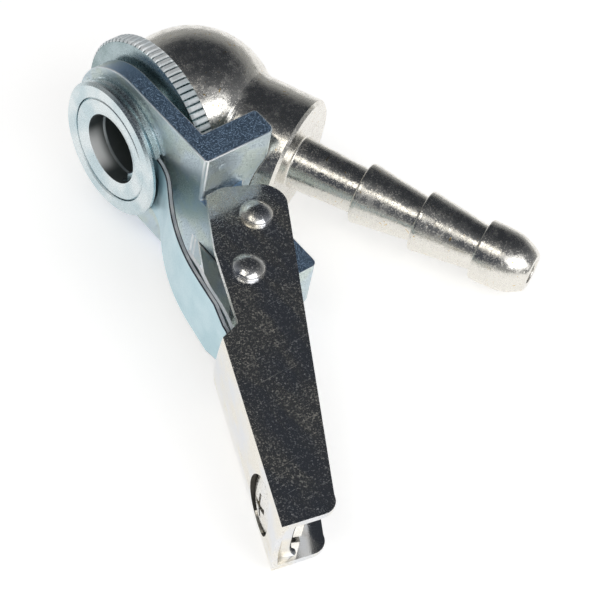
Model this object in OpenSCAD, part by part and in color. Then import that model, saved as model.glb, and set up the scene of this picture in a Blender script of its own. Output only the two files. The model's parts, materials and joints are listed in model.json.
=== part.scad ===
// Clip-on tyre-valve connector: an elbow with a barbed hose tail, a nose that takes the
// tyre valve, and a squeeze lever that draws a spring jaw out of the nose.
//
// Frame: X runs along the nose axis, from the mouth (x = 0) to the rear. The lever and
// the hose tail leave on the -Y side, and Z runs across the lever. Side outlines are
// given as [a, t], where a is x and t is the distance towards the lever, so t = -y.

/* [Nose] */
// Radius of the rim round the mouth
rim_r = 8.3; // [8:0.1:8.8]
// Thickness of the rim in front of the jaw's slot
rim_w = 0.95; // [0.8:0.05:1.1]
// Radius of the bore that takes the tyre valve
valve_bore_r = 4.1; // [4:0.05:4.2]
// Radius of the valve guide's head, which shows as a ring in the face
guide_head_r = 6.4; // [6.2:0.1:6.8]
// Length of the screwed valve guide
guide_l = 6.4; // [6:0.1:6.8]
// Radius of the threaded spigot that carries bracket, ring and elbow
spigot_r = 7.2; // [7.1:0.05:7.3]

/* [Bracket] */
// Front face of the bracket's web
web_x = 2.4; // [2.3:0.05:2.6]
// Thickness of the web
web_w = 2.3; // [2:0.1:2.5]
// Half the width of the bracket
bracket_half = 9.3; // [9:0.1:9.8]
// Depth of the flange towards the rear, from the web's front face
flange_l = 9.85; // [9:0.05:10.5]
// Outer face of the flange, measured from the nose axis
flange_t = 13.85; // [13.5:0.05:14.2]
// Thickness of the flange at its two ends
flange_w = 3.75; // [3.3:0.05:4]
// Depth of the lug, front to back
lug_l = 5.6; // [5.2:0.1:6]
// End of the lug, measured from the nose axis
lug_t = 28.1; // [27.5:0.1:28.5]
// Half the thickness of the lug between the lever's cheeks
lug_half = 3.05; // [2.9:0.05:3.1]

/* [Knurled ring] */
// Radius over the teeth
knurl_r = 11.5; // [11.2:0.1:11.6]
// Width of the toothed rim
knurl_w = 2.05; // [1.8:0.05:2.1]
// Number of teeth round the rim
knurl_teeth = 88; // [60:2:90]

/* [Elbow] */
// Radius of the domed body
dome_r = 10.15; // [10:0.05:10.3]
// Place of the dome's centre on the nose axis
dome_x = 12.1; // [12:0.05:12.3]
// Angle between the nose axis and the hose tail
tail_angle = 65.7; // [64:0.1:67]
// Radius of the collar that takes the hose tail
collar_r = 7.7; // [7.4:0.1:7.8]
// Length of the collar, from the dome's centre
collar_l = 14.1; // [13.8:0.1:14.4]

/* [Hose tail] */
// Radius of the stem where it leaves the collar
stem_base_r = 3.2; // [3:0.1:3.4]
// Radius of the stem at the first barb
stem_r = 2.8; // [2.6:0.1:3]
// Length of the stem outside the collar
stem_l = 8.4; // [8:0.1:8.8]
// Radius over the barbs
barb_r = 3.7; // [3.6:0.05:3.9]
// Radius at the small end of each barb
barb_root_r = 2.8; // [2.6:0.1:3]
// Length of each of the first two barbs
barb_l = 7.7; // [7.4:0.1:8]
// Length of the last, rounded barb
nose_barb_l = 6.5; // [6.2:0.1:6.9]
// Radius of the air passage
passage_r = 1.5; // [1.3:0.05:1.6]

/* [Lever] */
// Place of the pivot on the nose axis
pivot_a = 6.0; // [5.9:0.05:6.1]
// Distance of the pivot from the nose axis
pivot_t = 19.35; // [19.2:0.05:19.5]
// Angle between the lever and the line square to the nose axis
lever_angle = 23.6; // [23.4:0.1:23.8]
// Half the width over the two cheeks
lever_half = 4.0; // [3.95:0.05:4.1]
// Thickness of the sheet
sheet = 0.75; // [0.7:0.05:0.8]
// Length from the pivot to the end of the web
lever_l = 41; // [40:0.5:42]
// How far the web bulges forward between the cheeks
web_crown = 0.45; // [0.3:0.05:0.5]
// Distance from the pivot to the hole for the jaw screw
screw_v = 35.45; // [35:0.05:36]
// Radius of both rivets
rivet_r = 1.0; // [0.9:0.05:1]
// Radius of the rivet heads
rivet_head_r = 1.9; // [1.7:0.05:2]

/* [Jaw] */
// Thickness of the spring-steel jaw
jaw_w = 0.6; // [0.5:0.05:0.7]
// Half the width of the jaw outside the lever
jaw_half = 4.0; // [3.8:0.05:4.1]
// Distance from the nose axis to the jaw's gripping edge
grip_r = 3.4; // [3.3:0.05:3.6]
// Thickness of the leaf spring behind the jaw
leaf_w = 0.4; // [0.35:0.05:0.45]
// Half the width of the leaf spring outside the lever
leaf_half = 3.6; // [3.4:0.05:3.8]

/* [Hidden] */
$fn = 96;
eps = 0.01;
thread_gap = 0.05;
web_gap = 0.1;

// Stations along the nose axis, front to back
web_rear_x = web_x + web_w;
ring_face_x = 5.45;
ring_rear_x = ring_face_x + knurl_w;
elbow_face_x = ring_rear_x + 0.1;
seal_x = guide_l + thread_gap;
seal_w = 2.3;
seat_wall_x = seal_x + seal_w + thread_gap;
seat_x = seat_wall_x + 1.8;
spigot_end_x = 12.0;
joint_w = 0.75;
chamber_x = spigot_end_x + joint_w;
chamber_end_x = 19.6;
chamber_r = 5.2;

// Valve guide and barrel bores: the guide's mouth is wider than its bore as far as the jaw
mouth_r = valve_bore_r + 0.2;
mouth_end_x = 2.35;
guide_r = 5.9;
guide_head_w = 0.85;
port_r = 2.6;
slot_half = jaw_half + 0.15;
slot_t = 1.9;

// Check poppet and its spring
pin_r = 0.9;
pin_x = seal_x;
poppet_r = 3.6;
face_w = 0.8;
poppet_x = seat_x + thread_gap + face_w;
poppet_w = 1.0;
coil_r = 2.6;
wire_r = 0.25;
coil_turns = 5;

// Tail socket in the collar, measured from the dome's centre
socket_s = 7.5;
socket_r = 4.0;
tail_washer_w = 0.6;
barb_land = 0.5;
shoulder_lean = 0.05;
tip_round = 6.3;
tip_turn = 39.4;

// Soft crease between dome and collar: a hollow round them whose two edges run just inside
crease_r = 2.5;
crease_dip = 0.02;
crease_out = collar_r + crease_r - crease_dip;
crease_s = sqrt(pow(dome_r + crease_r - crease_dip, 2) - pow(crease_out, 2));

// Lever frame: u points to the rear across the lever, v runs down its length
u_dir = [cos(lever_angle), sin(lever_angle)];
v_dir = [-sin(lever_angle), cos(lever_angle)];
pivot = [pivot_a, pivot_t];
stop_rivet_u = -2.86;
stop_rivet_v = 7.58;
sleeve_r = 1.25;
cheek_inner = lever_half - sheet;

// Direction of travel down the side outline, turned forward from square to the nose axis
function heading(deg) = [-sin(deg), cos(deg)];

// End of a bend; a negative radius runs it backwards, up the lever
function bend(start, deg, turn, radius) =
    start + sign(turn) * radius * [cos(deg + turn) - cos(deg), sin(deg + turn) - sin(deg)];

// Jaw centre line: straight in the slot, then three bends to the flat inside the lever.
// The bends turn it forward, part of the way back, and in line with the lever.
jaw_lean = 32.6;
jaw_back = 22.6;
jaw_steep = jaw_lean - jaw_back;
jaw_run = [3.8, 2.4, 6.7];
jaw_bend_r = [8.8, 28.5, 6];
jaw_start = [web_x - 0.7, 2.2];
jaw_1 = jaw_start + jaw_run[0] * heading(0);
jaw_2 = bend(jaw_1, 0, jaw_lean, jaw_bend_r[0]);
jaw_3 = jaw_2 + jaw_run[1] * heading(jaw_lean);
jaw_4 = bend(jaw_3, jaw_lean, -jaw_back, jaw_bend_r[1]);
jaw_5 = jaw_4 + jaw_run[2] * heading(jaw_steep);
jaw_6 = bend(jaw_5, jaw_steep, lever_angle - jaw_steep, jaw_bend_r[2]);
jaw_u = (jaw_6 - pivot) * u_dir;
jaw_end_v = screw_v + 3.2;
jaw_7 = pivot + jaw_u * u_dir + jaw_end_v * v_dir;

// The lever's web lies in front of the jaw, and the leaf and nut behind it
web_u = jaw_u - jaw_w / 2 - web_gap - sheet;
web_r = (lever_half * lever_half + web_crown * web_crown) / (2 * web_crown);
leaf_u = jaw_u + (jaw_w + leaf_w) / 2;
nut_u = leaf_u + leaf_w / 2;
nut_w = 2.0;
head_r = 3.1;
head_hole_r = 3.25;
web_top_v = 16.5;
notch_u = -5.9;
channel_gap = 0.25;
jaw_narrow_v = 12;
leaf_narrow_v = 6.5;
shoulder_l = 2.2;

// Leaf spring centre line, from the screw up to its free end on the jaw's back
leaf_bend_v = 15.75;
leaf_bend_r = 21;
leaf_slope = 9.2;
leaf_run = 7;
leaf_1 = pivot + leaf_u * u_dir + jaw_end_v * v_dir;
leaf_2 = pivot + leaf_u * u_dir + leaf_bend_v * v_dir;
leaf_3 = bend(leaf_2, lever_angle, leaf_slope - lever_angle, -leaf_bend_r);
leaf_4 = leaf_3 - leaf_run * heading(leaf_slope);

// --- outlines -----------------------------------------------------------------------

// Points of a round stretch about a centre, from one angle to another
function arc(centre, radius, from, to, steps = 12) =
    [for (i = [0:steps]) centre + radius * [cos(from + (to - from) * i / steps),
                                            sin(from + (to - from) * i / steps)]];

// Points along a bend that starts at a heading and turns by an angle
function bend_run(start, deg, turn, radius, steps = 12) =
    [for (i = [1:steps]) bend(start, deg, turn * i / steps, radius)];

// Unit vector square to the stretch from p to q
function square_to(p, q) = [-(q - p)[1], (q - p)[0]] / norm(q - p);

// Outline of a strip of a given thickness along a centre line
function strip(line, w) =
    let (last = len(line) - 1,
         normals = [for (i = [0:last]) square_to(line[max(i - 1, 0)], line[min(i + 1, last)])])
    concat([for (i = [0:last]) line[i] + w / 2 * normals[i]],
           [for (i = [last:-1:0]) line[i] - w / 2 * normals[i]]);

// --- placing ------------------------------------------------------------------------

// Turns a piece built along Z onto the nose axis
module along_nose(x = 0) {
    translate([x, 0, 0]) rotate([0, 90, 0]) children();
}

// Turns a piece built along Z onto the hose tail's axis, from the dome's centre
module along_tail(s = 0) {
    translate([dome_x, 0, 0]) rotate([0, 0, -tail_angle]) translate([s, 0, 0])
        rotate([0, 90, 0]) children();
}

// A side outline in [a, t], as thick as given either side of the mid plane
module side_plate(half) {
    mirror([0, 1, 0]) linear_extrude(height = 2 * half, center = true) children();
}

// Lever frame: X across the lever, Y down its length
module in_lever() {
    translate([pivot_a, -pivot_t, 0]) rotate([0, 0, -lever_angle]) mirror([0, 1, 0]) children();
}

// A piece built along Z, set on the jaw screw's axis and pointing to the rear
module on_screw(u) {
    in_lever() translate([u, screw_v, 0]) rotate([0, 90, 0]) children();
}

// Low domed cap of a given base radius and height
module cap(radius, height) {
    ball_r = (radius * radius + height * height) / (2 * height);
    intersection() {
        translate([0, 0, height - ball_r]) sphere(r = ball_r);
        cylinder(r = radius, h = height);
    }
}

// --- elbow and hose tail ------------------------------------------------------------

// Dome with a flat mouth, turned about the nose axis
module dome() {
    along_nose(dome_x) rotate_extrude() intersection() {
        circle(r = dome_r);
        translate([0, elbow_face_x - dome_x]) square(2 * dome_r);
    }
}

// Collar with a chamfered end, starting inside the dome
module collar() {
    along_tail(4) cylinder(r = collar_r, h = collar_l - 4.35);
    along_tail(collar_l - 0.35 - eps) cylinder(r1 = collar_r, r2 = collar_r - 0.35, h = 0.35 + eps);
}

// Metal that fills the crease between dome and collar to a hollow curve
module crease() {
    along_tail() rotate_extrude() polygon(concat(
        arc([crease_out, crease_s], crease_r, 180 + atan(crease_s / crease_out), 180, 6),
        [[collar_r - 2, crease_s], [collar_r - 2, crease_s - 2]]));
}

module elbow_body() color("silver") difference() {
    union() {
        dome();
        collar();
        crease();
    }
    along_nose(elbow_face_x - 5) cylinder(r = 12, h = 5);
    along_nose(elbow_face_x - 1) cylinder(r = spigot_r + thread_gap, h = chamber_x - elbow_face_x + 1);
    along_nose(chamber_x - 1) cylinder(r = chamber_r, h = chamber_end_x - chamber_x + 1);
    along_tail(socket_s) cylinder(r = socket_r, h = collar_l);
    along_tail(2) cylinder(r = passage_r, h = collar_l);
}

// Half profile of one barb, from its sharp shoulder to its small end, where the next
// shoulder starts with a slight lean
function barb(s) = [[barb_r, s], [barb_r, s + barb_land], [barb_root_r, s + barb_l - shoulder_lean]];

module hose_tail() color("gainsboro") along_tail() {
    first = collar_l + stem_l;
    last = first + 2 * barb_l;
    tip = last + nose_barb_l;
    rotate_extrude() polygon(concat(
        [[passage_r, socket_s + tail_washer_w + 0.05],
         [socket_r - thread_gap, socket_s + tail_washer_w + 0.05],
         [socket_r - thread_gap, collar_l - 0.1],
         [stem_base_r, collar_l - 0.1], [stem_r, first - shoulder_lean]],
        barb(first),
        barb(first + barb_l),
        [[barb_r, last]],
        arc([barb_r - tip_round, tip - tip_round * sin(tip_turn)], tip_round, 0, tip_turn, 8),
        [[passage_r, tip]]));
}

module tail_washer() color("firebrick") along_tail(socket_s + 0.02) difference() {
    cylinder(r = socket_r - 0.1, h = tail_washer_w);
    translate([0, 0, -1]) cylinder(r = passage_r, h = tail_washer_w + 2);
}

// --- nose ---------------------------------------------------------------------------

// Space for the jaw, cut into the nose from the lever side
module jaw_slot() {
    translate([rim_w, -rim_r - 1, -slot_half])
        cube([web_x - rim_w + eps, rim_r + 1 - slot_t, 2 * slot_half]);
}

module nose_barrel() color("lightsteelblue") difference() {
    along_nose() rotate_extrude() polygon([
        [guide_head_r + thread_gap, 0.1], [guide_head_r + 0.25, 0], [rim_r - 0.35, 0],
        [rim_r, 0.3], [rim_r, 0.6], [rim_r - 0.55, 0.8], [rim_r - 0.55, 1.0],
        [rim_r - 0.15, 1.15], [rim_r - 0.15, 1.75], [rim_r - 0.5, 1.95],
        [rim_r - 0.5, 2.1], [rim_r - 0.2, 2.2], [rim_r - 0.2, web_x],
        [spigot_r, web_x], [spigot_r, spigot_end_x],
        [chamber_r, spigot_end_x], [chamber_r, seat_x], [port_r, seat_x],
        [port_r, seat_wall_x], [guide_r + thread_gap, seat_wall_x],
        [guide_r + thread_gap, guide_head_w + 0.05],
        [guide_head_r + thread_gap, guide_head_w + 0.05]]);
    jaw_slot();
}

module valve_guide() color("gainsboro") difference() {
    along_nose() rotate_extrude() polygon([
        [mouth_r, mouth_end_x], [mouth_r, 0.35], [guide_head_r - 1.1, 0.1],
        [guide_head_r - 0.2, 0.1], [guide_head_r, 0.3], [guide_head_r, guide_head_w],
        [guide_r, guide_head_w], [guide_r, guide_l], [valve_bore_r, guide_l],
        [valve_bore_r, mouth_end_x + 0.2]]);
    jaw_slot();
}

module valve_seal() color("dimgray") along_nose(seal_x) rotate_extrude() polygon([
    [2.4, 0.5], [2.9, 0], [guide_r - 0.05, 0], [guide_r - 0.05, seal_w], [2.4, seal_w]]);

module joint_washer() color("firebrick") along_nose(spigot_end_x + 0.02) difference() {
    cylinder(r = spigot_r - 0.05, h = joint_w - 0.05);
    translate([0, 0, -1]) cylinder(r = chamber_r + 0.1, h = joint_w + 2);
}

module knurled_ring() color("lightslategray") {
    pitch = 360 / knurl_teeth;
    difference() {
        union() {
            along_nose(web_rear_x) cylinder(r = 8.6, h = ring_face_x - web_rear_x + eps);
            along_nose(ring_face_x) linear_extrude(height = knurl_w) polygon([
                for (i = [0:knurl_teeth - 1], k = [0, 1])
                    (knurl_r - 0.35 * k) * [cos((i + k / 2) * pitch), sin((i + k / 2) * pitch)]]);
        }
        along_nose(web_rear_x - 1) cylinder(r = spigot_r + thread_gap, h = knurl_w + 4);
    }
}

// --- bracket ------------------------------------------------------------------------

module bracket() color("slategray") difference() {
    union() {
        along_nose(web_x) cylinder(r = bracket_half, h = web_w);
        side_plate(bracket_half) polygon(concat(
            [[web_x, 0], [web_x, flange_t - 0.3], [web_x + 0.3, flange_t]],
            arc([web_x + flange_l - 1, flange_t - 1], 1, 90, 0),
            arc([web_x + flange_l - 0.5, flange_t - flange_w + 0.5], 0.5, 0, -90, 6),
            [[web_rear_x, flange_t - flange_w], [web_rear_x, 0]]));
        side_plate(lug_half) polygon(concat(
            [[web_x, 9], [web_x, lug_t - 0.4], [web_x + 0.4, lug_t]],
            arc([web_x + lug_l - 0.8, lug_t - 0.8], 0.8, 90, 0, 6),
            arc([web_x + lug_l + 1, flange_t + 1 - eps], 1, 180, 270, 6),
            [[web_x + lug_l + 1, 12.5]]));
    }
    along_nose(web_x - 1) cylinder(r = spigot_r + thread_gap, h = web_w + 2);
    along_nose(web_rear_x) cylinder(r = knurl_r + 0.3, h = 20);
    along_tail() cylinder(r = collar_r + 0.35, h = collar_l + 5);
    translate([pivot_a, -pivot_t, 0]) cylinder(r = rivet_r + thread_gap, h = 20, center = true);
}

// --- check valve --------------------------------------------------------------------

module check_poppet() color("goldenrod") along_nose() rotate_extrude() polygon([
    [0, pin_x], [pin_r - 0.25, pin_x], [pin_r, pin_x + 0.25], [pin_r, poppet_x],
    [poppet_r, poppet_x], [poppet_r, poppet_x + poppet_w],
    [coil_r - wire_r - 0.15, poppet_x + poppet_w],
    [coil_r - wire_r - 0.15, poppet_x + poppet_w + 0.9], [0, poppet_x + poppet_w + 0.9]]);

module poppet_face() color("black") along_nose(seat_x + thread_gap) difference() {
    cylinder(r = poppet_r - 0.1, h = face_w);
    translate([0, 0, -1]) cylinder(r = pin_r, h = face_w + 2);
}

// Points of the coil spring's ring number i, on a helix of eight rings a turn
function coil_ring(i, from, run, rings) =
    let (turn = i * 45, x = from + run * i / rings)
    [for (k = [0:5])
        let (r = coil_r + wire_r * cos(k * 60))
        [x + wire_r * sin(k * 60), r * cos(turn), r * sin(turn)]];

// Coil spring: one tube of six sides wound on a helix
module poppet_spring() {
    from = poppet_x + poppet_w + wire_r;
    run = chamber_end_x - wire_r - from;
    rings = coil_turns * 8;
    points = [for (i = [0:rings]) each coil_ring(i, from, run, rings)];
    walls = [for (i = [0:rings - 1], k = [0:5])
        let (a = i * 6 + k, b = i * 6 + (k + 1) % 6)
        each [[a, a + 6, b], [b, a + 6, b + 6]]];
    caps = concat([for (k = [1:4]) [0, k, k + 1]],
                  [for (k = [1:4]) [rings * 6, rings * 6 + k + 1, rings * 6 + k]]);
    echo(spring_gap = run / coil_turns - 2 * wire_r);
    color("darkgray") polyhedron(points = points, faces = concat(walls, caps), convexity = 4);
}

// --- lever --------------------------------------------------------------------------

// Side of the lever in its own frame: head cut to clear the flange, taper and rounded foot.
// In front of the web it reaches past the bulge, which is cut to shape afterwards.
function lever_outline() = concat(
    [[-5.0, -3.5], [-3.0, -4.4]],
    arc([1.1, -1.5], 2.9, -90, 0),
    arc([-3.55, 38.3], 1.9, -8, 82, 8),
    [[web_u, lever_l], [web_u - web_crown - 0.1, lever_l + 0.1],
     [web_u - web_crown - 0.1, web_top_v + 0.4], [web_u, web_top_v],
     [notch_u, web_top_v - 1.6], [notch_u, 4.5]]);

// Round bar along the lever that gives the web its bulge, less a wall thickness
module web_bulge(wall) {
    translate([web_u - web_crown + web_r, -12, 0]) rotate([-90, 0, 0])
        cylinder(r = web_r - wall, h = 64);
}

module lever() color("lightgray") in_lever() difference() {
    intersection() {
        linear_extrude(height = 2 * lever_half, center = true) polygon(lever_outline());
        web_bulge(0);
    }
    // Channel between the cheeks, open to the rear and at both ends
    intersection() {
        translate([web_u, -10, -cheek_inner]) cube([20, 60, 2 * cheek_inner]);
        web_bulge(sheet);
    }
    // Domed top edge of the web
    translate([web_u - 1, 0, 0]) rotate([0, 90, 0]) difference() {
        translate([-cheek_inner, 0, 0]) cube([2 * cheek_inner, web_top_v + 3.2, sheet + 1.1]);
        translate([0, web_top_v + 3.8, -1]) cylinder(r = 5.4, h = sheet + 4);
    }
    // Holes for the rivets and for the head of the jaw screw
    cylinder(r = rivet_r + thread_gap, h = 20, center = true);
    translate([stop_rivet_u, stop_rivet_v, 0]) cylinder(r = rivet_r + thread_gap, h = 20, center = true);
    translate([web_u - 1, screw_v, 0]) rotate([0, 90, 0]) cylinder(r = head_hole_r, h = sheet + 2);
}

module rivet() {
    cylinder(r = rivet_r, h = 2 * lever_half + 0.1, center = true);
    for (side = [0, 1]) mirror([0, 0, side]) translate([0, 0, lever_half + 0.02]) {
        cylinder(r = rivet_head_r, h = 0.4);
        translate([0, 0, 0.39]) cap(rivet_head_r - 0.1, 0.7);
    }
}

module lever_rivets() color("whitesmoke") in_lever() {
    rivet();
    translate([stop_rivet_u, stop_rivet_v, 0]) rivet();
}

module spacer_sleeve() color("gray") in_lever() translate([stop_rivet_u, stop_rivet_v, 0]) difference() {
    cylinder(r = sleeve_r, h = 2 * cheek_inner - 0.1, center = true);
    cylinder(r = rivet_r + 0.03, h = 20, center = true);
}

// --- jaw ----------------------------------------------------------------------------

jaw_line = concat(
    [jaw_start, jaw_1], bend_run(jaw_1, 0, jaw_lean, jaw_bend_r[0]),
    [jaw_3], bend_run(jaw_3, jaw_lean, -jaw_back, jaw_bend_r[1]),
    [jaw_5], bend_run(jaw_5, jaw_steep, lever_angle - jaw_steep, jaw_bend_r[2], 6),
    [jaw_7]);

leaf_line = concat(
    [leaf_1, leaf_2], bend_run(leaf_2, lever_angle, leaf_slope - lever_angle, -leaf_bend_r, 8),
    [leaf_4]);

// Cuts sloping shoulders into a strip from a given place down the lever, and below them
// leaves it narrow enough to run between the cheeks
module channel_sides(from_v, half) {
    narrow = cheek_inner - channel_gap;
    in_lever() for (side = [0, 1]) mirror([0, 0, side])
        translate([-12, 0, 0]) rotate([90, 0, 90]) linear_extrude(height = 12) polygon([
            [from_v, half + 1], [from_v, half], [from_v + shoulder_l, narrow],
            [lever_l + 5, narrow], [lever_l + 5, half + 1]]);
}

module jaw() color("lightblue") difference() {
    side_plate(jaw_half) polygon(strip(jaw_line, jaw_w));
    channel_sides(jaw_narrow_v, jaw_half);
    along_nose(-2) cylinder(r = grip_r, h = 6);
    on_screw(jaw_u - 2) cylinder(r = 1.55, h = 4);
}

module leaf_spring() color("steelblue") difference() {
    side_plate(leaf_half) polygon(strip(leaf_line, leaf_w));
    channel_sides(leaf_narrow_v, leaf_half);
    on_screw(leaf_u - 2) cylinder(r = 1.55, h = 4);
}

module jaw_screw() {
    face = jaw_u - jaw_w / 2 - 0.02;
    color("whitesmoke") on_screw(0) difference() {
        union() {
            translate([0, 0, face]) cylinder(r = 1.5, h = nut_u + nut_w + 0.6 - face);
            translate([0, 0, face - 0.7]) cylinder(r = head_r, h = 0.7);
            translate([0, 0, face - 0.69]) mirror([0, 0, 1]) cap(head_r, 0.55);
        }
        for (turn = [0, 90]) rotate([0, 0, turn + 20])
            translate([-1.4, -0.3, face - 2]) cube([2.8, 0.6, 1.8]);
    }
}

module clamp_nut() color("silver") on_screw(nut_u + 0.02) difference() {
    translate([-2.75, -2.75, 0]) cube([5.5, 5.5, nut_w]);
    translate([0, 0, -1]) cylinder(r = 1.53, h = nut_w + 2);
}

elbow_body();
hose_tail();
tail_washer();
nose_barrel();
valve_guide();
valve_seal();
joint_washer();
knurled_ring();
bracket();
check_poppet();
poppet_face();
poppet_spring();
lever();
lever_rivets();
spacer_sleeve();
jaw();
leaf_spring();
jaw_screw();
clamp_nut();
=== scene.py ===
import json
import math

import bmesh
import bpy
from mathutils import Matrix, Vector


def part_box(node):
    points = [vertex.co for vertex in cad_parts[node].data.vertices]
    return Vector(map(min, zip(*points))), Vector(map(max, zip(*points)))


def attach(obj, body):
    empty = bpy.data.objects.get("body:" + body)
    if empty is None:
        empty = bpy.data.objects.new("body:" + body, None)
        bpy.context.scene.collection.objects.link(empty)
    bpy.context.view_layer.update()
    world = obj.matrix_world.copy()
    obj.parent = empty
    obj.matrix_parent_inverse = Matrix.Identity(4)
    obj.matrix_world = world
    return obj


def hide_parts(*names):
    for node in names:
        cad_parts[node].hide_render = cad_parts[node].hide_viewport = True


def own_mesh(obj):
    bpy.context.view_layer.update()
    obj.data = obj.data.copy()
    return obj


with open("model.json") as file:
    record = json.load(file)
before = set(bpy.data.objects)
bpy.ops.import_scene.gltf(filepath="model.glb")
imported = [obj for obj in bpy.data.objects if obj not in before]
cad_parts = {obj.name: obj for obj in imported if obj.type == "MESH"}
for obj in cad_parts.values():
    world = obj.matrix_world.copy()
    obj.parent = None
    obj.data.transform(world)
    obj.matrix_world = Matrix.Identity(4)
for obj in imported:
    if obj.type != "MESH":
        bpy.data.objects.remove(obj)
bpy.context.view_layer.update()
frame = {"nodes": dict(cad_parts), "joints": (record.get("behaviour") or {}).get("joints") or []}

# Elbow: a hot-pressed brass body with a domed back and a round collar, turned, polished and
# nickel-plated. It screws onto the nose's spigot. Its CAD solid has the right shape, so it
# only gets its finish here.

MM = 0.001


def srgb(code):
    """Linear colour with alpha from an sRGB hex value."""
    parts = [int(code[i:i + 2], 16) / 255 for i in (1, 3, 5)]
    return [c / 12.92 if c <= 0.04045 else ((c + 0.055) / 1.055) ** 2.4 for c in parts] + [1.0]


def add(tree, kind, links=None, **settings):
    """Adds a node with its settings. links gives a socket's number or name a value or an output."""
    node = tree.nodes.new(kind)
    for name, value in settings.items():
        setattr(node, name, value)
    for socket, value in (links or {}).items():
        if isinstance(value, bpy.types.NodeSocket):
            tree.links.new(value, node.inputs[socket])
        else:
            node.inputs[socket].default_value = value
    return node


def empty_tree(owner):
    """The node tree of a material or of the world, with nothing in it."""
    owner.use_nodes = True
    owner.node_tree.nodes.clear()
    return owner.node_tree


def new_material(name):
    """A material, its node tree, and the place on the object that its patterns follow."""
    material = bpy.data.materials.new(name)
    tree = empty_tree(material)
    return material, tree, add(tree, "ShaderNodeTexCoord").outputs["Object"]


def dress(node, material):
    """Gives a CAD node its finish."""
    mesh = frame["nodes"][node].data
    mesh.materials.clear()
    mesh.materials.append(material)


def polished_nickel_plate(name):
    """Polished nickel over brass: a warm grey mirror with clouds where the polish is duller,
    so that what it shows breaks up into soft blots, and with fine pits that scatter the light.
    Few spots show the brass as gold. The pits are drawn about twice as coarse as they are."""
    material, tree, place = new_material(name)
    clouds = add(tree, "ShaderNodeTexNoise", {"Vector": place, "Scale": 1 / (1.0 * MM), "Detail": 4.0})
    grain = add(tree, "ShaderNodeTexNoise", {"Vector": place, "Scale": 1 / (0.2 * MM), "Detail": 1.0})
    pits = add(tree, "ShaderNodeMapRange", {"Value": grain.outputs["Fac"], "From Min": 0.54,
                                            "From Max": 0.68})
    worn = add(tree, "ShaderNodeTexNoise", {"Vector": place, "Scale": 1 / (0.55 * MM), "Detail": 2.0,
                                            "Distortion": 1.2})
    gold = add(tree, "ShaderNodeMapRange", {"Value": worn.outputs["Fac"], "From Min": 0.68,
                                            "From Max": 0.74})
    colour = add(tree, "ShaderNodeMix", {"Factor": gold.outputs["Result"], "A": srgb("#E4E1DA"),
                                         "B": srgb("#D2B57C")}, data_type="RGBA")
    dull = add(tree, "ShaderNodeMapRange", {"Value": clouds.outputs["Fac"], "From Min": 0.38,
                                            "From Max": 0.66, "To Min": 0.12, "To Max": 0.3})
    rough = add(tree, "ShaderNodeMath", {0: pits.outputs["Result"], 1: 0.2, 2: dull.outputs["Result"]},
                operation="MULTIPLY_ADD")
    waves = add(tree, "ShaderNodeBump", {"Height": clouds.outputs["Fac"], "Strength": 0.35,
                                         "Distance": 0.09 * MM})
    dents = add(tree, "ShaderNodeBump", {"Height": pits.outputs["Result"], "Strength": 0.3,
                                         "Distance": 0.012 * MM, "Normal": waves.outputs["Normal"]})
    shader = add(tree, "ShaderNodeBsdfPrincipled", {
        "Base Color": colour.outputs["Result"], "Metallic": 1.0, "Roughness": rough.outputs[0],
        "Normal": dents.outputs["Normal"]})
    add(tree, "ShaderNodeOutputMaterial", {"Surface": shader.outputs[0]})
    return material


nickel = polished_nickel_plate("polished_nickel_plate_on_brass")
dress("elbow_body", nickel)

# Hose tail: turned from brass bar in one go, stem and barbs together, then plated with the
# elbow. Three barbs hold the hose, and the last one is rounded so that the hose starts easily.

CORNER_ROOM = 0.49
CREASE = math.radians(32)
ON_AXIS = 1e-6


def rounded(corners, steps=5):
    """Outline of (r, s) corners in mm, where a third number rounds that corner by that radius,
    or by less where that would take more than about half of a side."""
    outline = []
    for i, corner in enumerate(corners):
        here = Vector(corner[:2])
        if len(corner) < 3:
            outline.append(here)
            continue
        back = Vector(corners[i - 1][:2]) - here
        ahead = Vector(corners[(i + 1) % len(corners)][:2]) - here
        half = back.angle(ahead) / 2
        reach = min(corner[2] / math.tan(half), back.length * CORNER_ROOM, ahead.length * CORNER_ROOM)
        radius = reach * math.tan(half)
        centre = here + (back.normalized() + ahead.normalized()).normalized() * radius / math.sin(half)
        first = here + back.normalized() * reach - centre
        last = here + ahead.normalized() * reach - centre
        for k in range(steps + 1):
            outline.append(centre + first.slerp(last, k / steps) * radius)
    return outline


def shown_as(name, bm, body, node, material):
    """Turns a bmesh into a piece that rides on a body, stands for a CAD node, which it hides,
    and takes the given finish."""
    bmesh.ops.recalc_face_normals(bm, faces=bm.faces)
    mesh = bpy.data.meshes.new(name)
    bm.to_mesh(mesh)
    bm.free()
    mesh.shade_smooth()
    mesh.set_sharp_from_angle(angle=CREASE)
    mesh.materials.append(material)
    piece = bpy.data.objects.new(name, mesh)
    bpy.context.scene.collection.objects.link(piece)
    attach(piece, body)
    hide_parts(node)
    return piece


def turned(outline, place, segments=144, bm=None):
    """A closed (r, s) outline in mm, turned about local Z and set in place, as a bmesh or added
    to one."""
    bm = bm or bmesh.new()
    rings = []
    for r, s in outline:
        count = segments if r > ON_AXIS else 1
        rings.append([bm.verts.new((r * MM * math.cos(a), r * MM * math.sin(a), s * MM))
                      for a in (math.tau * k / segments for k in range(count))])
    for one, two in zip(rings, rings[1:] + rings[:1]):
        for k in range(segments):
            corners = [one[k % len(one)], one[(k + 1) % len(one)],
                       two[(k + 1) % len(two)], two[k % len(two)]]
            corners = list(dict.fromkeys(corners))
            if len(corners) > 2:
                bm.faces.new(corners)
    bmesh.ops.transform(bm, matrix=place, verts=[v for ring in rings for v in ring])
    return bm


def along(point, direction):
    """Matrix that sets local Z along a direction from a point given in mm."""
    turn = Vector(direction).to_track_quat("Z", "Y").to_matrix().to_4x4()
    return Matrix.Translation(Vector(point) * MM) @ turn


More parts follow.
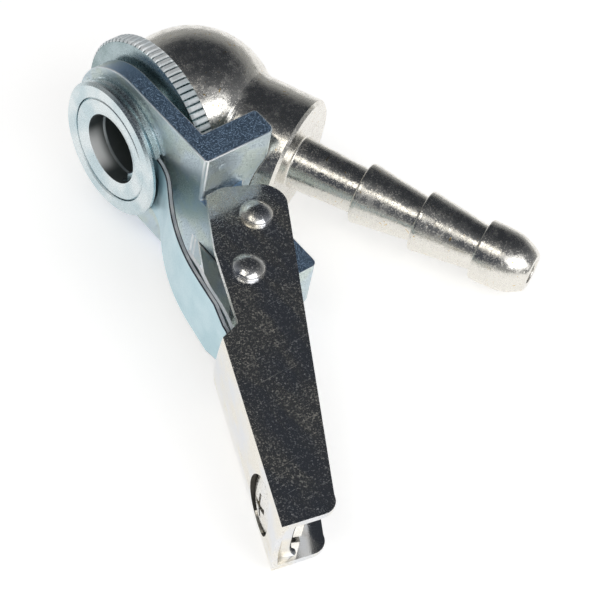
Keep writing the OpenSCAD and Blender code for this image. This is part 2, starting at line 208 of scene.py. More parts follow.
# Lengths run along the tail from the dome's centre. The stem's foot is flush with the collar.
DOME_X = 12.1
TAIL_ANGLE = math.radians(65.7)
TAIL = along((DOME_X, 0, 0), (math.cos(TAIL_ANGLE), -math.sin(TAIL_ANGLE), 0))
TAIL_START, COLLAR_END, STEM_END = 8.15, 14.1, 22.5
FLUSH = COLLAR_END - 0.01
SCREWED_R, STEM_BASE_R, STEM_R, PASSAGE_R = 4.01, 3.2, 2.8, 1.5
BASE_ROUND, NECK_ROUND = 0.25, 0.12
BARB_R, ROOT_R, BARB_L, LAND, LEAN = 3.7, 2.8, 7.7, 0.5, 0.05
BARB_EDGE, LAND_BLEND, ROOT_ROUND = 0.24, 0.8, 0.15
TIP, TIP_ROUND, TIP_TURN, TIP_STEPS = 44.4, 6.3, math.radians(39.4), 12
TIP_EDGE, MOUTH_EDGE = 0.3, 0.2
tail_outline = [(PASSAGE_R, TAIL_START), (SCREWED_R, TAIL_START), (SCREWED_R, FLUSH),
                (STEM_BASE_R, FLUSH, BASE_ROUND), (STEM_R, STEM_END - LEAN, NECK_ROUND)]
for shoulder in (STEM_END, STEM_END + BARB_L):
    tail_outline += [(BARB_R, shoulder, BARB_EDGE), (BARB_R, shoulder + LAND, LAND_BLEND),
                     (ROOT_R, shoulder + BARB_L - LEAN, ROOT_ROUND)]
tail_outline += [(BARB_R, STEM_END + 2 * BARB_L, BARB_EDGE)]
tail_outline += [(BARB_R - TIP_ROUND * (1 - math.cos(a)),
                  TIP - TIP_ROUND * (math.sin(TIP_TURN) - math.sin(a)))
                 for a in (TIP_TURN * k / TIP_STEPS for k in range(TIP_STEPS))]
tail_outline += [(BARB_R - TIP_ROUND * (1 - math.cos(TIP_TURN)), TIP, TIP_EDGE),
                 (PASSAGE_R, TIP, MOUTH_EDGE)]
shown_as("barbed_tail", turned(rounded(tail_outline), TAIL), "connector_body", "hose_tail", nickel)

# Nose: turned from free-cutting steel and plated with bright zinc. Its grooved rim is the
# clamping head, and the ring of the valve guide shows in its face.

SAME_PLACE = 1e-7
FLAT, EDGE_ANGLE = math.radians(0.3), math.radians(26)


def bright_zinc_plate(name, pale, deep, dullness, grit, turning=0.0, metallic=1.0):
    """Bright zinc with a blue passivate: a bluish satin mirror, with a tint that drifts over
    the surface and fine sparkle from the plating's crystals. dullness is the least and the most
    roughness, and grit the sparkle's strength. turning gives a lathe's faint rings about the
    nose axis, drawn three times as coarse as the tool leaves them. metallic is below 1 where
    the plating is rough enough to scatter white light."""
    material, tree, place = new_material(name)
    drift = add(tree, "ShaderNodeTexNoise", {"Vector": place, "Scale": 1 / (3.5 * MM), "Detail": 3.0})
    grain = add(tree, "ShaderNodeTexNoise", {"Vector": place, "Scale": 1 / (0.19 * MM), "Detail": 1.0})
    tint = add(tree, "ShaderNodeMapRange", {"Value": drift.outputs["Fac"], "From Min": 0.38,
                                            "From Max": 0.62})
    colour = add(tree, "ShaderNodeMix", {"Factor": tint.outputs["Result"], "A": srgb(pale),
                                         "B": srgb(deep)}, data_type="RGBA")
    rough = add(tree, "ShaderNodeMapRange", {"Value": grain.outputs["Fac"], "From Min": 0.4,
                                             "From Max": 0.68, "To Min": dullness[0],
                                             "To Max": dullness[1]})
    normal = add(tree, "ShaderNodeBump", {"Height": grain.outputs["Fac"], "Strength": grit,
                                          "Distance": 0.03 * MM})
    if turning:
        rings = add(tree, "ShaderNodeTexWave", {"Vector": place, "Scale": 0.05 / (0.18 * MM),
                                                "Distortion": 0.5, "Detail": 1.0},
                    wave_type="RINGS", rings_direction="X")
        normal = add(tree, "ShaderNodeBump", {"Height": rings.outputs["Fac"], "Strength": turning,
                                              "Distance": 0.01 * MM,
                                              "Normal": normal.outputs["Normal"]})
    shader = add(tree, "ShaderNodeBsdfPrincipled", {
        "Base Color": colour.outputs["Result"], "Metallic": metallic,
        "Roughness": rough.outputs["Result"], "Normal": normal.outputs["Normal"]})
    add(tree, "ShaderNodeOutputMaterial", {"Surface": shader.outputs[0]})
    return material


def softened(node, name, body, material, radius, weigh=None, segments=2):
    """A copy of a CAD node with its facets merged and its edges rounded by a radius in mm.
    weigh takes an edge and gives its share of that radius, where they differ."""
    mesh = frame["nodes"][node].data.copy()
    for extra in [a.name for a in mesh.attributes if a.name in ("custom_normal", "sharp_edge")]:
        mesh.attributes.remove(mesh.attributes[extra])
    bm = bmesh.new()
    bm.from_mesh(mesh)
    bpy.data.meshes.remove(mesh)
    bmesh.ops.remove_doubles(bm, verts=bm.verts, dist=SAME_PLACE)
    bmesh.ops.dissolve_limit(bm, angle_limit=FLAT, verts=bm.verts, edges=bm.edges)
    shares = bm.edges.layers.float.new("bevel_weight_edge")
    for edge in bm.edges:
        if edge.calc_face_angle(0) > EDGE_ANGLE:
            edge[shares] = weigh(edge) if weigh else 1.0
    piece = shown_as(name, bm, body, node, material)
    bevel = piece.modifiers.new("rounded_edges", "BEVEL")
    bevel.limit_method = "WEIGHT"
    bevel.width = radius * MM
    bevel.segments = segments
    bevel.harden_normals = True
    return piece


turned_zinc = bright_zinc_plate("bright_zinc_plate_turned", "#DAE2E4", "#C0D0D5",
                                dullness=(0.24, 0.4), grit=0.1, turning=0.45)
softened("nose_barrel", "nose", "connector_body", turned_zinc, radius=0.12)

# Valve guide: a turned ring screwed into the nose from the front, plated like it. Its bore
# takes the tyre valve, and it holds the seal down. The bore carries painted shade, with a
# painted highlight on one side near its mouth.

MOUTH_R = 4.3
NEAR = 0.05
# The painted highlight lies on the wall on this side, full up to 1.2 mm deep and gone by 2.8 mm.
PAINTED_HIGHLIGHT_SIDE = (0, 0.71, -0.71)
PAINTED_HIGHLIGHT_FULL_TO, PAINTED_HIGHLIGHT_GONE_AT = 1.2, 2.8


def bore_zinc_with_painted_light(name):
    """Zinc inside the bore with painted light: dark all over as painted shade, with a painted
    highlight near the mouth on one side, where it is pale and less metallic."""
    material, tree, place = new_material(name)
    radial = add(tree, "ShaderNodeVectorMath", {0: place, 1: (0, 1, 1)}, operation="MULTIPLY")
    towards = add(tree, "ShaderNodeVectorMath", {0: radial.outputs[0]}, operation="NORMALIZE")
    side = add(tree, "ShaderNodeVectorMath", {0: towards.outputs[0], 1: PAINTED_HIGHLIGHT_SIDE},
               operation="DOT_PRODUCT")
    highlight_facing = add(tree, "ShaderNodeMapRange", {"Value": side.outputs["Value"], "From Min": 0.7,
                                             "From Max": 1.02}, interpolation_type="SMOOTHSTEP")
    deep = add(tree, "ShaderNodeSeparateXYZ", {0: place})
    mouth = add(tree, "ShaderNodeMapRange", {
        "Value": deep.outputs["X"], "From Min": PAINTED_HIGHLIGHT_GONE_AT * MM, "From Max": PAINTED_HIGHLIGHT_FULL_TO * MM},
        interpolation_type="SMOOTHSTEP")
    painted_highlight = add(tree, "ShaderNodeMath", {0: highlight_facing.outputs["Result"], 1: mouth.outputs["Result"]},
                 operation="MULTIPLY")
    colour = add(tree, "ShaderNodeMix", {"Factor": painted_highlight.outputs[0], "A": srgb("#6E7678"),
                                         "B": srgb("#FAFCFC")}, data_type="RGBA")
    metal = add(tree, "ShaderNodeMapRange", {"Value": painted_highlight.outputs[0], "To Min": 0.8,
                                             "To Max": 0.25})
    grain = add(tree, "ShaderNodeTexNoise", {"Vector": place, "Scale": 1 / (0.4 * MM), "Detail": 2.0})
    bump = add(tree, "ShaderNodeBump", {"Height": grain.outputs["Fac"], "Strength": 0.2,
                                        "Distance": 0.03 * MM})
    shader = add(tree, "ShaderNodeBsdfPrincipled", {
        "Base Color": colour.outputs["Result"], "Metallic": metal.outputs["Result"],
        "Roughness": 0.4, "Normal": bump.outputs["Normal"]})
    add(tree, "ShaderNodeOutputMaterial", {"Surface": shader.outputs[0]})
    return material


def refinish(piece, material, chosen):
    """Gives the faces of a piece that chosen picks out a finish of their own."""
    piece.data.materials.append(material)
    for face in piece.data.polygons:
        if chosen(face):
            face.material_index = len(piece.data.materials) - 1


def in_bore(face):
    """Whether all of the guide's face lies on the wall of its bore."""
    corners = [guide.data.vertices[i].co for i in face.vertices]
    return all(math.hypot(c.y, c.z) < (MOUTH_R + NEAR) * MM for c in corners)


guide = softened("valve_guide", "valve_guide_ring", "connector_body", turned_zinc,
                 radius=0.16, segments=3)
# The bore's wall gets painted shade and a painted highlight.
refinish(guide, bore_zinc_with_painted_light("zinc_plate_in_bore_with_painted_light"), in_bore)

# Knurled ring: a thin steel disc with straight teeth rolled into its rim, between the
# bracket and the elbow. The teeth are chamfered at both faces.

low, high = (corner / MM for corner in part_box("knurled_ring"))
RING_NECK, RING_FRONT, RING_REAR = low.x, 5.45, high.x
RING_R, RING_BORE, NECK_R, NECK_TAPER = high.z, 7.25, 8.6, 0.05
TEETH, TOOTH_STEPS, TOOTH_DEPTH, GROOVE_POWER = 88, 8, 0.38, 1.2
CHAMFER, BREAK_IN, BREAK = 0.28, 0.25, 0.03
# How far down the teeth the painted highlight reaches.
PALE_CREST_DEPTH = 0.55 * TOOTH_DEPTH


def skin(bm, rings):
    """Faces from each ring of points to the next one."""
    faces = []
    for one, two in zip(rings, rings[1:]):
        for k in range(len(one)):
            after = (k + 1) % len(one)
            faces.append(bm.faces.new((one[k], one[after], two[after], two[k])))
    return faces


def on_tooth(face):
    """Whether a face of the ring belongs to the outer part of a tooth, painted pale as a highlight."""
    return math.hypot(face.center.y, face.center.z) > (RING_R - PALE_CREST_DEPTH) * MM


section =[(RING_NECK, RING_BORE), (RING_NECK, NECK_R), (RING_FRONT, NECK_R + NECK_TAPER),
           (RING_FRONT, RING_R - CHAMFER - BREAK_IN), (RING_FRONT + BREAK, RING_R - CHAMFER),
           (RING_FRONT + CHAMFER, RING_R), (RING_REAR - CHAMFER, RING_R),
           (RING_REAR - BREAK, RING_R - CHAMFER), (RING_REAR, RING_R - CHAMFER - BREAK_IN),
           (RING_REAR, RING_BORE)]
bm = bmesh.new()
rings = []
for x, r in section:
    ring = []
    for k in range(TEETH * TOOTH_STEPS):
        groove = max(0.0, math.cos(math.tau * (k % TOOTH_STEPS) / TOOTH_STEPS)) ** GROOVE_POWER
        radius = min(r, RING_R - TOOTH_DEPTH * groove) * MM
        angle = math.tau * k / (TEETH * TOOTH_STEPS)
        ring.append(bm.verts.new((x * MM, radius * math.cos(angle), radius * math.sin(angle))))
    rings.append(ring)
skin(bm, rings + rings[:1])
ring_zinc = bright_zinc_plate("bright_zinc_plate_on_ring", "#A6B6BA", "#8C9EA0",
                              dullness=(0.24, 0.4), grit=0.1, turning=0.6)
# The teeth's crests are painted pale and less metallic, a painted highlight.
crest_highlight_zinc = bright_zinc_plate("zinc_plate_on_teeth_with_painted_highlight", "#F6FAFB", "#E2ECF0",
                               dullness=(0.4, 0.56), grit=0.3, metallic=0.6)
toothed_ring = shown_as("toothed_ring", bm, "connector_body", "knurled_ring", ring_zinc)
refinish(toothed_ring, crest_highlight_zinc, on_tooth)

# Bracket: a thick L-shaped steel plate, cropped, bent and drilled, then barrel-plated with
# zinc. The tumbling leaves it with softened edges, fine scratches and a dense sparkle.

LUG_END_Y = -27.0
SHELTERED = 0.2


def handling_marks(tree, place, pits_from, pits_to):
    """Where small pits and hairline scratches from handling lie, as one mask: pits of 0.17 mm,
    and two sets of scratches 3 to 5 mm long that cross each other. The pits start where the
    noise passes pits_from, and are at full depth where it passes pits_to."""
    pits = add(tree, "ShaderNodeTexNoise", {"Vector": place, "Scale": 1 / (0.17 * MM), "Detail": 1.0})
    marks = add(tree, "ShaderNodeMapRange", {"Value": pits.outputs["Fac"], "From Min": pits_from,
                                             "From Max": pits_to}).outputs["Result"]
    for angle, seed in ((0.7, 0.0), (2.3, 0.31)):
        lengthways = add(tree, "ShaderNodeMapping", {
            "Vector": place, "Location": (seed, seed, seed), "Rotation": (0, 0, angle),
            "Scale": (1 / (3.5 * MM), 1 / (0.08 * MM), 1 / (2.5 * MM))})
        streaks = add(tree, "ShaderNodeTexNoise", {"Vector": lengthways.outputs[0], "Scale": 1.0,
                                                   "Detail": 0.0})
        scratches = add(tree, "ShaderNodeMapRange", {"Value": streaks.outputs["Fac"],
                                                     "From Min": 0.8, "From Max": 0.84})
        marks = add(tree, "ShaderNodeMath", {0: marks, 1: scratches.outputs["Result"]},
                    operation="MAXIMUM").outputs[0]
    return marks


def tumbled_zinc_plate(name):
    """Zinc plated in a barrel over cropped steel, with a blue passivate: a satin surface, with
    painted shade that makes the faces facing along ±Z bluer and darker, and speckled bright by knocks
    from tumbling against other parts."""
    material, tree, place = new_material(name)
    drift = add(tree, "ShaderNodeTexNoise", {"Vector": place, "Scale": 1 / (3.0 * MM), "Detail": 3.0})
    tint = add(tree, "ShaderNodeMapRange", {"Value": drift.outputs["Fac"], "From Min": 0.42,
                                            "From Max": 0.58})
    colour = add(tree, "ShaderNodeMix", {"Factor": tint.outputs["Result"], "A": srgb("#CBD9E0"),
                                         "B": srgb("#D0DCD9")}, data_type="RGBA")
    # Painted shade: faces that face along ±Z are painted bluer and darker.
    facing = add(tree, "ShaderNodeSeparateXYZ", {0: add(tree, "ShaderNodeTexCoord").outputs["Normal"]})
    upright = add(tree, "ShaderNodeMath", {0: facing.outputs["Z"]}, operation="ABSOLUTE")
    painted_side_shade = add(tree, "ShaderNodeMapRange", {"Value": upright.outputs[0], "From Min": 0.8,
                                               "From Max": 0.95})
    colour = add(tree, "ShaderNodeMix", {"Factor": painted_side_shade.outputs["Result"],
                                         "A": colour.outputs["Result"], "B": srgb("#A8C4E2")},
                 data_type="RGBA")
    marks = handling_marks(tree, place, pits_from=0.54, pits_to=0.7)
    rough = add(tree, "ShaderNodeMath", {0: marks, 1: 0.2, 2: 0.4}, operation="MULTIPLY_ADD")
    dents = add(tree, "ShaderNodeBump", {"Height": marks, "Strength": 1.0, "Distance": 0.08 * MM})
    shader = add(tree, "ShaderNodeBsdfPrincipled", {
        "Base Color": colour.outputs["Result"], "Metallic": 1.0, "Roughness": rough.outputs[0],
        "Normal": dents.outputs["Normal"]})
    add(tree, "ShaderNodeOutputMaterial", {"Surface": shader.outputs[0]})
    return material


def knocked_share(edge):
    """All of the radius where tumbling knocked the edges, and little on the lug's end."""
    return SHELTERED if all(v.co.y < LUG_END_Y * MM for v in edge.verts) else 1.0


def finish_edges(piece, material):
    """Gives a piece's rounded edges a finish of their own, and their full radius even where the
    corners of its outline lie close together."""
    piece.data.materials.append(material)
    bevel = piece.modifiers["rounded_edges"]
    bevel.material = len(piece.data.materials) - 1
    bevel.use_clamp_overlap = False


barrel_zinc = tumbled_zinc_plate("bright_zinc_plate_tumbled")
# The rounded edges are painted pale: partly wear from knocks, partly a painted highlight.
edge_highlight_zinc = bright_zinc_plate("zinc_plate_on_edges_with_painted_highlight", "#F2F6F8", "#C9D6DE",
                                 dullness=(0.3, 0.6), grit=1.0, metallic=0.7)
bracket = softened("bracket", "bracket_plate", "connector_body", barrel_zinc,
                   radius=0.14, weigh=knocked_share, segments=3)
finish_edges(bracket, edge_highlight_zinc)

# Lever: a channel pressed from steel sheet, with two cheeks and a crowned web between them,
# then polished and nickel-plated. The folds along the web have a larger radius than the cut
# edges, and the cheeks' lower ends are rolled over a little by the press.

# Places on the lever are mm across it, towards its rear, and mm down it, both from its pivot.
# The arm with the jaw turns about a point on the axis of the screw's hole.
joints = {joint["name"]: joint for joint in frame["joints"]}
PIVOT = Vector(joints["lever_squeeze"]["pos_m"]) / MM
HOLE = Vector(joints["jaw_draw"]["pos_m"]) / MM
LEVER_ANGLE = math.radians(23.6)
ACROSS = Vector((math.cos(LEVER_ANGLE), -math.sin(LEVER_ANGLE), 0))
DOWN = Vector((-math.sin(LEVER_ANGLE), -math.cos(LEVER_ANGLE), 0))
FOLD_R, ROLL_R, CUT_R = 0.5, 0.4, 0.13
LEVER_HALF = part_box("lever")[1].z / MM
WEB_U, LEVER_END, SHEET, HOLE_REACH = -7.99, 39.6, 0.8, 3.5
RUN_OF_CLOUDS = -0.41

# SPLIT is a depth in the sheet that tells its outer side from its inner side. The others are
# the least share of a face's direction that lies along an axis, for a flat face and for the
# crowned web, and the most for a face that runs alongside the axis.
SPLIT, FLAT_SHARE, CROWNED_SHARE, ALONGSIDE_SHARE = 0.5, 0.9, 0.7, 0.1


def polished_nickel_sheet(name, wear):
    """Nickel on polished sheet steel: a near-black or white mirror as the light falls, clouded
    bluish and brownish in patches that run along the lever. wear is how much its pits and
    hairline scratches catch the light."""
    material, tree, place = new_material(name)
    stretched = add(tree, "ShaderNodeMapping", {"Vector": place, "Rotation": (0, 0, RUN_OF_CLOUDS),
                                                "Scale": (1.0, 0.35, 1.0)})
    clouds = add(tree, "ShaderNodeTexNoise", {"Vector": stretched.outputs[0],
                                              "Scale": 1 / (2.6 * MM), "Detail": 4.0})
    tint = add(tree, "ShaderNodeMapRange", {"Value": clouds.outputs["Fac"], "From Min": 0.4,
                                            "From Max": 0.6})
    colour = add(tree, "ShaderNodeMix", {"Factor": tint.outputs["Result"], "A": srgb("#DFE0E2"),
                                         "B": srgb("#E6E2D9")}, data_type="RGBA")
    marks = handling_marks(tree, place, pits_from=0.52, pits_to=0.76)
    dull = add(tree, "ShaderNodeMapRange", {"Value": clouds.outputs["Fac"], "From Min": 0.4,
                                            "From Max": 0.62, "To Min": 0.08, "To Max": 0.24})
    rough = add(tree, "ShaderNodeMath", {0: marks, 1: 0.55 * wear, 2: dull.outputs["Result"]},
                operation="MULTIPLY_ADD")
    dents = add(tree, "ShaderNodeBump", {"Height": marks, "Strength": 0.35 * wear,
                                         "Distance": 0.01 * MM})
    shader = add(tree, "ShaderNodeBsdfPrincipled", {
        "Base Color": colour.outputs["Result"], "Metallic": 1.0, "Roughness": rough.outputs[0],
        "Normal": dents.outputs["Normal"]})
    add(tree, "ShaderNodeOutputMaterial", {"Surface": shader.outputs[0]})
    return material


def fold_share(edge):
    """All of the fold's radius along the web's outer corners, less round the cheeks' lower
    ends, and least on the other cut edges."""
    outside = all(abs(v.co.z) > (LEVER_HALF - NEAR) * MM for v in edge.verts)
    if outside and all(abs((v.co / MM - PIVOT).dot(ACROSS) - WEB_U) < NEAR for v in edge.verts):
        return 1.0
    if outside and all((v.co / MM - PIVOT).dot(DOWN) > LEVER_END for v in edge.verts):
        return ROLL_R / FOLD_R
    return CUT_R / FOLD_R


def in_screw_hole(face):
    """Whether a face of the lever belongs to the wall of the hole in its web."""
    off_axis = (face.center / MM - HOLE).cross(ACROSS).length
    return abs(face.normal.dot(ACROSS)) < ALONGSIDE_SHARE and off_axis < HOLE_REACH


def is_buffed(face):
    """Whether a face of the lever is the web's outside or the inside of a cheek."""
    middle = face.center / MM
    if face.normal.dot(ACROSS) < -CROWNED_SHARE and (middle - PIVOT).dot(ACROSS) < WEB_U + SPLIT:
        return True
    return abs(face.normal.z) > FLAT_SHARE and abs(middle.z) < LEVER_HALF - SPLIT


sheet_nickel = polished_nickel_sheet("polished_nickel_plate_on_sheet", wear=1.0)
lever = softened("lever", "lever_channel", "squeeze_lever", sheet_nickel,
                 radius=FOLD_R, weigh=fold_share, segments=3)
# The wall of the screw's hole is painted dark, as painted shade in the hole.
hole_shade_zinc = bright_zinc_plate("zinc_with_painted_shade_in_punched_hole", "#5C5A56", "#4A4845",
                                 dullness=(0.4, 0.6), grit=0.2)
refinish(lever, hole_shade_zinc, in_screw_hole)
refinish(lever, polished_nickel_sheet("buffed_nickel_plate_on_web", wear=0.15), is_buffed)

# The web's lower end is turned in between the cheeks and swells into both corners. It takes
# the buffed finish, which was the last one given.
LIP_TOP, LIP_END, LIP_DEPTH, LIP_ROUND, LIP_TOP_ROUND = 39.05, 40.02, 1.3, 0.45, 0.3
SWELL, SWELL_POWER, HALF_STEPS = 1.2, 4, 16
bm = bmesh.new()
bm.from_mesh(lever.data)
rings = []
for k in range(2 * HALF_STEPS + 1):
    share = k / HALF_STEPS - 1
    z = (LEVER_HALF - SHEET / 2) * share
    outer = WEB_U + SHEET / 2
    inner = WEB_U + SHEET + LIP_DEPTH + SWELL * abs(share) ** SWELL_POWER
    section = rounded([(outer, LIP_TOP), (outer, LIP_END), (inner, LIP_END, LIP_ROUND),
                       (inner, LIP_TOP, LIP_TOP_ROUND)])
    rings.append([bm.verts.new((PIVOT + ACROSS * u + DOWN * v + Vector((0, 0, z))) * MM)
                  for u, v in section])
lip = [bm.faces.new(rings[0]), bm.faces.new(reversed(rings[-1]))] + skin(bm, rings)
bmesh.ops.recalc_face_normals(bm, faces=lip)
for face in lip:
    face.smooth = True
    face.material_index = len(lever.data.materials) - 1
bm.to_mesh(lever.data)
bm.free()

# Rivets: two cold-headed steel rivets, set through both cheeks. Each head is a low dome on a
# thin rim that the setting tool left. One is the pivot and the other carries the stop sleeve.

SHANK_R, SHANK_SINK, HEAD_GAP = 1.0, 0.5, 0.02
HEAD_R, RIM_H, RIM_ROUND = 1.9, 0.36, 0.07
DOME_R, DOME_H, DOME_STEPS = 1.78, 0.7, 14
STEP_H, STEP_LEAN, STEP_ROUND = 0.03, 0.02, 0.02
STOP_U, STOP_V = -2.86, 7.58
ball = (DOME_R ** 2 + DOME_H ** 2) / (2 * DOME_H)
spread = math.asin(DOME_R / ball)
seat = LEVER_HALF + HEAD_GAP
rim = seat + RIM_H
head_outline = [(0, LEVER_HALF - SHANK_SINK), (SHANK_R, LEVER_HALF - SHANK_SINK), (SHANK_R, seat),
                (HEAD_R, seat), (HEAD_R, rim, RIM_ROUND), (DOME_R + STEP_LEAN, rim, STEP_ROUND)]
head_outline += [(ball * math.sin(a), rim + STEP_H + DOME_H - ball * (1 - math.cos(a)))
                 for a in (spread * (1 - k / DOME_STEPS) for k in range(DOME_STEPS + 1))]
shank_outline = [(0, -LEVER_HALF), (SHANK_R, -LEVER_HALF), (SHANK_R, LEVER_HALF), (0, LEVER_HALF)]
bm = bmesh.new()
for middle in (PIVOT, PIVOT + ACROSS * STOP_U + DOWN * STOP_V):
    for side in (1, -1):
        turned(rounded(head_outline, steps=3), along(middle, (0, 0, side)), segments=96, bm=bm)
    turned(shank_outline, along(middle, (0, 0, 1)), segments=48, bm=bm)
shown_as("rivets", bm, "squeeze_lever", "lever_rivets", sheet_nickel)

# Stop sleeve: a short steel tube on the lower rivet, between the cheeks. It is turned and
# zinc-plated like the nose.

dress("spacer_sleeve", turned_zinc)

# Jaw: a strip of spring steel, blanked, bent in three places and plated with zinc. Its upper
# end grips the valve's thread through the slot in the nose. The shears left its sides rough,
# and its rounded corners are painted dark as painted shade.


def on_cut_side(face):
    """Whether a face of a strip belongs to one of its two sides that the shears cut."""
    return abs(face.normal.z) > FLAT_SHARE


strip_zinc = bright_zinc_plate("bright_zinc_plate_on_strip", "#C3DAE1", "#B6D1D9",
                               dullness=(0.28, 0.44), grit=0.06)
sheared_zinc = bright_zinc_plate("bright_zinc_plate_on_sheared_edge", "#F4F6F7", "#CBD2D8",
                                 dullness=(0.4, 0.68), grit=1.0, metallic=0.7)
painted_dark_edge_zinc = bright_zinc_plate("zinc_plate_with_painted_shade_on_corners", "#565D6A", "#474D58",
                                dullness=(0.3, 0.5), grit=0.2)
jaw = softened("jaw", "jaw_strip", "jaw_arm", strip_zinc, radius=0.13)
refinish(jaw, sheared_zinc, on_cut_side)
# The jaw's rounded edges take the painted shade.
finish_edges(jaw, painted_dark_edge_zinc)

# Leaf spring: a thinner strip behind the jaw, held by the same screw. It was tumbled before
# plating, which left its sides and corners frosted and bright.

frosted_zinc = bright_zinc_plate("frosted_zinc_plate_on_leaf_edge", "#FFFFFF", "#DCE3E9",
                                 dullness=(0.3, 0.6), grit=1.0, metallic=0.3)
leaf = softened("leaf_spring", "leaf_strip", "jaw_arm", barrel_zinc,
                radius=0.08)
refinish(leaf, frosted_zinc, on_cut_side)
finish_edges(leaf, frosted_zinc)

# Jaw screw and nut: a domed cross-recess machine screw of nickel-plated steel, in the hole of
# the lever's web, with a square zinc-plated nut behind the strips.

nut_zinc = bright_zinc_plate("clear_zinc_plate_on_nut", "#E9E5DC", "#D8D4CA",
                             dullness=(0.22, 0.36), grit=0.1)
softened("jaw_screw", "cross_recess_screw", "jaw_arm", sheet_nickel,
         radius=0.08)
softened("clamp_nut", "square_nut", "jaw_arm", nut_zinc, radius=0.2)

# Seals and washers: a seal for the valve's end and a face for the poppet, both moulded from
# nitrile rubber, and two washers stamped from vulcanised fibre, one in each screwed joint.


def moulded_nitrile(name):
    """Moulded nitrile rubber: matt black with a faint bloom and a fine grain from its mould."""
    material, tree, place = new_material(name)
    bloom = add(tree, "ShaderNodeTexNoise", {"Vector": place, "Scale": 1 / (1.2 * MM), "Detail": 4.0})
    colour = add(tree, "ShaderNodeMix", {"Factor": bloom.outputs["Fac"], "A": srgb("#1C1C1D"),
                                         "B": srgb("#343433")}, data_type="RGBA")
    bump = add(tree, "ShaderNodeBump", {"Height": bloom.outputs["Fac"], "Strength": 0.4,
                                        "Distance": 0.03 * MM})
    shader = add(tree, "ShaderNodeBsdfPrincipled", {
        "Base Color": colour.outputs["Result"], "Roughness": 0.7, "Normal": bump.outputs["Normal"]})
    add(tree, "ShaderNodeOutputMaterial", {"Surface": shader.outputs[0]})
    return material


def vulcanised_fibre(name):
    """Vulcanised fibre, pressed from paper: dull brick red with paler fibres in it."""
    material, tree, place = new_material(name)
    fibres = add(tree, "ShaderNodeTexNoise", {"Vector": place, "Scale": 1 / (0.3 * MM), "Detail": 5.0})
    colour = add(tree, "ShaderNodeMix", {"Factor": fibres.outputs["Fac"], "A": srgb("#8C3A30"),
                                         "B": srgb("#B96A5A")}, data_type="RGBA")
    bump = add(tree, "ShaderNodeBump", {"Height": fibres.outputs["Fac"], "Strength": 0.5,
                                        "Distance": 0.02 * MM})
    shader = add(tree, "ShaderNodeBsdfPrincipled", {
        "Base Color": colour.outputs["Result"], "Roughness": 0.8, "Normal": bump.outputs["Normal"]})
    add(tree, "ShaderNodeOutputMaterial", {"Surface": shader.outputs[0]})
    return material


rubber = moulded_nitrile("moulded_nitrile_rubber")
fibre = vulcanised_fibre("vulcanised_fibre")
dress("valve_seal", rubber)
dress("poppet_face", rubber)
dress("joint_washer", fibre)
dress("tail_washer", fibre)

# Check poppet and its spring: a poppet turned from brass, pushed back by the valve against a
# coil spring of plated wire. The spring is shown by a copy of its CAD solid.


def turned_brass(name):
    """Brass as it leaves the lathe: clean yellow, with fine rings round the axis."""
    material, tree, place = new_material(name)
    rings = add(tree, "ShaderNodeTexWave", {"Vector": place, "Scale": 0.05 / (0.1 * MM),
                                            "Distortion": 0.4}, wave_type="RINGS", rings_direction="X")
    rough = add(tree, "ShaderNodeMapRange", {"Value": rings.outputs["Fac"], "To Min": 0.18,
                                             "To Max": 0.32})
    bump = add(tree, "ShaderNodeBump", {"Height": rings.outputs["Fac"], "Strength": 0.4,
                                        "Distance": 0.01 * MM})
    shader = add(tree, "ShaderNodeBsdfPrincipled", {
        "Base Color": srgb("#E7D3A0"), "Metallic": 1.0, "Roughness": rough.outputs["Result"],
        "Normal": bump.outputs["Normal"]})
    add(tree, "ShaderNodeOutputMaterial", {"Surface": shader.outputs[0]})
    return material


dress("check_poppet", turned_brass("turned_brass"))
bm = bmesh.new()
bm.from_mesh(frame["nodes"]["poppet_spring"].data)
bmesh.ops.remove_doubles(bm, verts=bm.verts, dist=SAME_PLACE)
coil = shown_as("coil_spring", bm, "connector_body", "poppet_spring", strip_zinc)
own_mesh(coil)

# Floor: a white sheet on which the connector lies on three points, the toothed ring, the
# corner of the bracket's flange and the lever's foot. It looks white itself and still takes
# the connector's shadow.

RING_TOUCH = Vector((RING_REAR, -1.64, -11.38))
FLANGE_TOUCH = Vector((11.51, -13.82, -9.3))
FOOT_TOUCH = Vector((-11.99, -54.83, -LEVER_HALF))
FLOOR_R, FLOOR_GAP = 260, 0.02
floor_up = (FLANGE_TOUCH - RING_TOUCH).cross(FOOT_TOUCH - RING_TOUCH).normalized()
floor_up *= 1 if floor_up.z > 0 else -1
floor_centre = Vector((5, -22, 0))
floor_centre += floor_up * ((RING_TOUCH - floor_centre).dot(floor_up) - FLOOR_GAP)


def staged(name, bm, material):
    """Turns a bmesh into a part of the studio, which isn't part of the connector."""
    mesh = bpy.data.meshes.new(name)
    bm.to_mesh(mesh)
    bm.free()
    mesh.materials.append(material)
    item = bpy.data.objects.new(name, mesh)
    bpy.context.scene.collection.objects.link(item)
    return item


white = bpy.data.materials.new("white_paper")
tree = empty_tree(white)
rays = add(tree, "ShaderNodeLightPath")
seen = add(tree, "ShaderNodeMath", {0: rays.outputs["Is Camera Ray"], 1: rays.outputs["Is Glossy Ray"]},
           operation="MAXIMUM")
seen = add(tree, "ShaderNodeMath", {0: seen.outputs[0], 1: rays.outputs["Is Transmission Ray"]},
           operation="MAXIMUM")
glow = add(tree, "ShaderNodeMath", {0: seen.outputs[0], 1: 0.38}, operation="MULTIPLY")
paper = add(tree, "ShaderNodeBsdfDiffuse", {"Color": srgb("#F4F4F4")})
lift = add(tree, "ShaderNodeEmission", {"Color": srgb("#FFFFFF"), "Strength": glow.outputs[0]})
both = add(tree, "ShaderNodeAddShader", {0: paper.outputs[0], 1: lift.outputs[0]})
add(tree, "ShaderNodeOutputMaterial", {"Surface": both.outputs[0]})
bm = bmesh.new()
bmesh.ops.create_circle(bm, cap_ends=True, segments=96, radius=FLOOR_R * MM)
